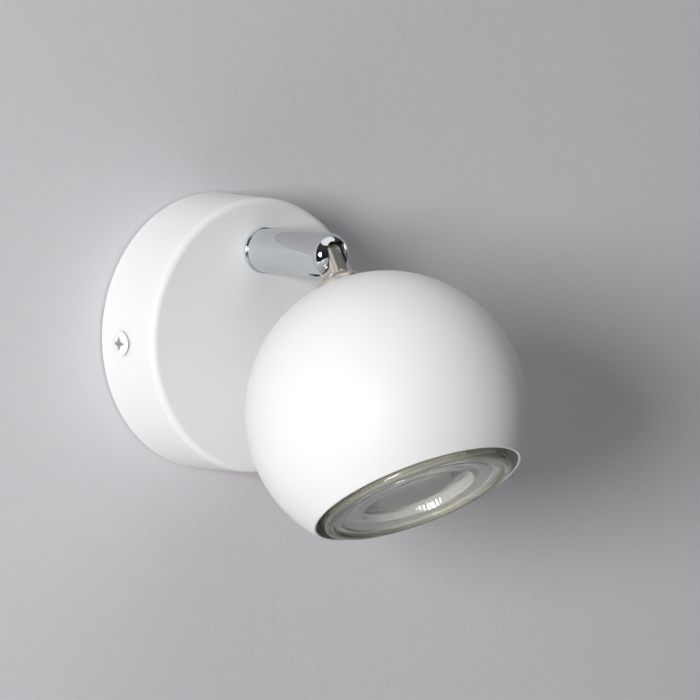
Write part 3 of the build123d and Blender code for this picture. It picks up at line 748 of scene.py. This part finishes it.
class SPOTLIGHT_OT_lens(Operator):
    """The lamp's moulded lens: beaded dome, fluted well, ring and the cone behind"""

    bl_idname = "spotlight.lens"
    bl_label = "Lamp lens"
    rings_per_bead = 5
    sides_per_flute = 4
    flute_rings = 6
    groove_rings = 8
    cone_rings = 10
    cone_bulge = 0.8  # below 1, the cone's side swells outward
    bead_fade = 8  # a higher power keeps the beads tall nearer to the dome's edge
    lens_angle = 60.0  # degrees: wide enough for beads and flutes to stay smooth

    def execute(self, context):
        sizes = context.scene.spotlight_sizes
        mesh = lathe(self.rings(sizes), self.sides_per_flute * sizes.flute_count)
        piece("lens", mesh, lamp_frame, ["clear_lens"], "lamp", ["lamp_optic"],
              angle=self.lens_angle)
        return {"FINISHED"}

    def rings(self, sizes):
        """From the middle of the face, round the edge and the cone, to the hollow over the LEDs."""
        face, back = sizes.lens_face, sizes.lens_face - sizes.lens_disc
        floor = face - sizes.well_depth
        dome_rings = sizes.bead_circles * self.rings_per_bead
        rings = [(0.0, face)]
        rings += [self.dome_ring(sizes, part) for part in fractions(dome_rings)]
        rings += [self.flute_ring(sizes, floor, part) for part in fractions(self.flute_rings, first=0)]
        for part in fractions(self.groove_rings, first=0):
            turn = pi * part
            radius = sizes.ring_radius - sizes.ring_groove * cos(turn)
            rings.append((radius, face - sizes.ring_groove * sin(turn)))
        edge, chamfer = sizes.lens_radius, sizes.lens_chamfer
        rings += [(edge - chamfer, face), (edge, face - chamfer), (edge, back)]
        for part in fractions(self.cone_rings, first=0):
            swell = (1 - part) ** self.cone_bulge
            radius = sizes.cone_tip + (sizes.cone_radius - sizes.cone_tip) * swell
            rings.append((radius, back + (sizes.cone_end - back) * part))
        roof = sizes.cone_end + sizes.led_room_depth
        rings += [(sizes.led_room, sizes.cone_end), (sizes.led_room, roof), (0.0, roof)]
        return rings

    def dome_ring(self, sizes, part):
        """A ring of the dome, with circles of beads on it."""
        spacing = part * sizes.bead_circles
        circle = min(int(spacing), sizes.bead_circles - 1)
        count = max(1, round(2 * pi * (circle + 0.5)))
        across = spacing - circle - 0.5
        height = sizes.lens_face - sizes.well_depth * part ** 2
        fade = 1 - part ** self.bead_fade

        def spot(angle):
            along = (angle * count / (2 * pi)) % 1 - 0.5
            bead = max(0.0, 1 - 4 * (along ** 2 + across ** 2))
            return sizes.dome_radius * part, height - sizes.bead_height * (1 - bead) * fade

        return spot

    def flute_ring(self, sizes, floor, part):
        """A ring of the well's wall, with flutes deepest halfway up."""
        radius = sizes.well_floor + (sizes.well_radius - sizes.well_floor) * part
        height = floor + sizes.well_depth * part

        def spot(angle):
            hollow = abs(sin(angle * sizes.flute_count / 2)) * sin(pi * part)
            return radius + sizes.flute_depth * hollow, height

        return spot


class SPOTLIGHT_OT_cover_screws(Operator):
    """The base's side screws: painted domed heads with bare cross recesses"""

    bl_idname = "spotlight.cover_screws"
    bl_label = "Cover screws"
    dome_parts = (0.66, 0.75, 0.84, 0.93)  # shares of the head's radius
    recess_floor = 0.45  # share of the recess's outline
    floor_depth = 0.85  # share of the recess's depth at the edge of its floor
    arm_taper = 2.2  # a higher power makes the arms of the recess thinner
    bare_bands = (0, 1, 7, 8, 9)  # recess, rim, underside and neck

    def execute(self, context):
        sizes = context.scene.spotlight_sizes
        low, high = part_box("cover_screws")
        middle = (low + high) / 2
        both = bmesh.new()
        for side in (-1, 1):
            seat = Vector((side * (high.x - sizes.screw_rise), middle.y, middle.z))
            one = lathe(self.rings(sizes), round_sides, inlay=self.bare_bands)
            one.transform(Matrix.Translation(seat) @ Matrix.Rotation(side * pi / 2, 4, "Y"))
            data = bpy.data.meshes.new("screw")
            one.to_mesh(data)
            one.free()
            both.from_mesh(data)
            bpy.data.meshes.remove(data)
        piece("side_screws", both, Matrix(), ["powder_coat", "zinc"], "base",
              ["cover_screws"])
        return {"FINISHED"}

    def rings(self, sizes):
        """From the middle of the recess, over the head, to the end of the shank."""
        head, rise, gap = sizes.screw_head, sizes.screw_rise, sizes.screw_gap
        shank, end = sizes.screw_shank, -sizes.screw_length
        rim = gap + sizes.screw_rim

        def dome(radius):
            return rim + (rise - rim) * (1 - (radius / head) ** 2)

        def star(scale, drop):
            reach, waist = sizes.cross_reach, sizes.cross_waist
            half_arm = pi / 4

            def spot(angle):
                turn = (angle + half_arm) % (2 * half_arm) - half_arm
                away = abs(turn) / half_arm
                radius = scale * (waist + (reach - waist) * (1 - away) ** self.arm_taper)
                return radius, dome(radius) - drop

            return spot

        rings = [(0.0, rise - sizes.cross_depth)]
        rings.append(star(self.recess_floor, sizes.cross_depth * self.floor_depth))
        rings.append(star(scale=1.0, drop=0.0))
        rings += [(head * part, dome(head * part)) for part in self.dome_parts]
        rings += [(head, rim), (head, gap), (head - gap, gap), (head - gap, 0.0)]
        rings += [(shank, 0.0), (shank, end), (0.0, end)]
        return rings


class SPOTLIGHT_OT_stage(Operator):
    """Wall, floor, camera and lights"""

    bl_idname = "spotlight.stage"
    bl_label = "Stage"
    sensor_width = 36.0  # millimetres
    nearest = 0.01  # metres from the camera

    def execute(self, context):
        given = context.scene.spotlight_stage
        upright = Matrix.Translation((0, given.wall_gap, 0)) @ Matrix.Rotation(pi / 2, 4, "X")
        level = Matrix.Translation((0, 0, -given.floor_drop))
        self.backdrop("wall", given.wall, upright, given.wall_radius, given.wall_hole)
        self.backdrop("floor", given.floor, level, given.floor_radius, hole=0.0)
        self.lights(context, given)
        self.camera(context, given)
        return {"FINISHED"}

    def backdrop(self, name, colour, where, radius, hole):
        """A round sheet, seen from its front only, with a hole in its middle."""
        sheet = lathe([(radius, 0.0), (hole, 0.0)], round_sides)
        sheet.normal_update()
        sheet.faces.ensure_lookup_table()
        if sheet.faces[0].normal.z < 0:
            bmesh.ops.reverse_faces(sheet, faces=sheet.faces)
        sheet.transform(where)
        plaster = skin(name, colour, scale=700.0, roughness=0.75, swing=0.05, bump=7e-5, shade=0.98)
        plane = add_mesh(name, sheet, one_sided(plaster))

    def lights(self, context, given):
        """Three soft lights, and a room that is brighter above."""
        self.disc(context, "key", given.key_power, given.key_size, given.key_at, given.aim)
        self.disc(context, "top", given.top_power, given.top_size, given.top_at, given.aim)
        self.disc(context, "behind", given.behind_power, given.top_size, given.behind_at, given.aim)
        world = bpy.data.worlds.new("room")
        world.use_nodes = True
        tree = world.node_tree
        tree.nodes.clear()
        way = place(tree, "ShaderNodeTexCoord").outputs["Generated"]
        up = place(tree, "ShaderNodeSeparateXYZ", {"Vector": way}).outputs["Z"]
        seen = times(tree, place(tree, "ShaderNodeLightPath").outputs["Is Camera Ray"], given.room_seen)
        light = plus(tree, spread(tree, up, given.room_light, given.room_top), seen)
        sky = place(tree, "ShaderNodeBackground", {"Strength": light})
        place(tree, "ShaderNodeOutputWorld", {"Surface": sky.outputs[0]})
        context.scene.world = world

    def disc(self, context, name, power, size, at, aim):
        """A round soft light that the camera doesn't see."""
        light = bpy.data.lights.new(name, "AREA")
        light.shape = "DISK"
        light.size = size
        light.energy = power
        lamp = bpy.data.objects.new(name, light)
        lamp.location = at
        way = Vector(aim) - lamp.location
        lamp.rotation_euler = way.to_track_quat("-Z", "Y").to_euler()
        lamp.visible_camera = False
        context.scene.collection.objects.link(lamp)

    def camera(self, context, given):
        lens = bpy.data.cameras.new("camera")
        lens.sensor_width = self.sensor_width
        lens.lens = given.focal_length
        lens.clip_start = self.nearest
        view = bpy.data.objects.new("camera", lens)
        view.location = given.camera_at
        view.rotation_euler = (pi / 2 - given.camera_drop, 0, -given.camera_turn)
        context.scene.collection.objects.link(view)
        context.scene.camera = view
        context.scene.view_settings.view_transform = "Standard"


class SPOTLIGHT_PT_pieces(Panel):
    """Buttons for the spotlight's pieces"""

    bl_idname = "SPOTLIGHT_PT_pieces"
    bl_label = "Spotlight"
    bl_space_type = "VIEW_3D"
    bl_region_type = "UI"
    bl_category = "Spotlight"

    def draw(self, context):
        for operator in operators:
            self.layout.operator(operator.bl_idname)


operators = (
    SPOTLIGHT_OT_paint,
    SPOTLIGHT_OT_plating,
    SPOTLIGHT_OT_hardware,
    SPOTLIGHT_OT_insulation,
    SPOTLIGHT_OT_moving_leads,
    SPOTLIGHT_OT_lamp_works,
    SPOTLIGHT_OT_lens,
    SPOTLIGHT_OT_cover_screws,
    SPOTLIGHT_OT_stage,
)
settings = {
    "spotlight_sizes": SpotlightSizes,
    "spotlight_finishes": SpotlightFinishes,
    "spotlight_stage": SpotlightStage,
}
classes = (*settings.values(), *operators, SPOTLIGHT_PT_pieces)


def register():
    for kind in classes:
        bpy.utils.register_class(kind)
    for name, kind in settings.items():
        setattr(bpy.types.Scene, name, PointerProperty(type=kind))


def unregister():
    for name in settings:
        delattr(bpy.types.Scene, name)
    for kind in reversed(classes):
        bpy.utils.unregister_class(kind)


def main():
    register()
    bpy.ops.spotlight.paint()
    bpy.ops.spotlight.plating()
    bpy.ops.spotlight.hardware()
    bpy.ops.spotlight.insulation()
    bpy.ops.spotlight.moving_leads()
    bpy.ops.spotlight.lamp_works()
    bpy.ops.spotlight.lens()
    bpy.ops.spotlight.cover_screws()
    bpy.ops.spotlight.stage()


if __name__ == "__main__":
    main()
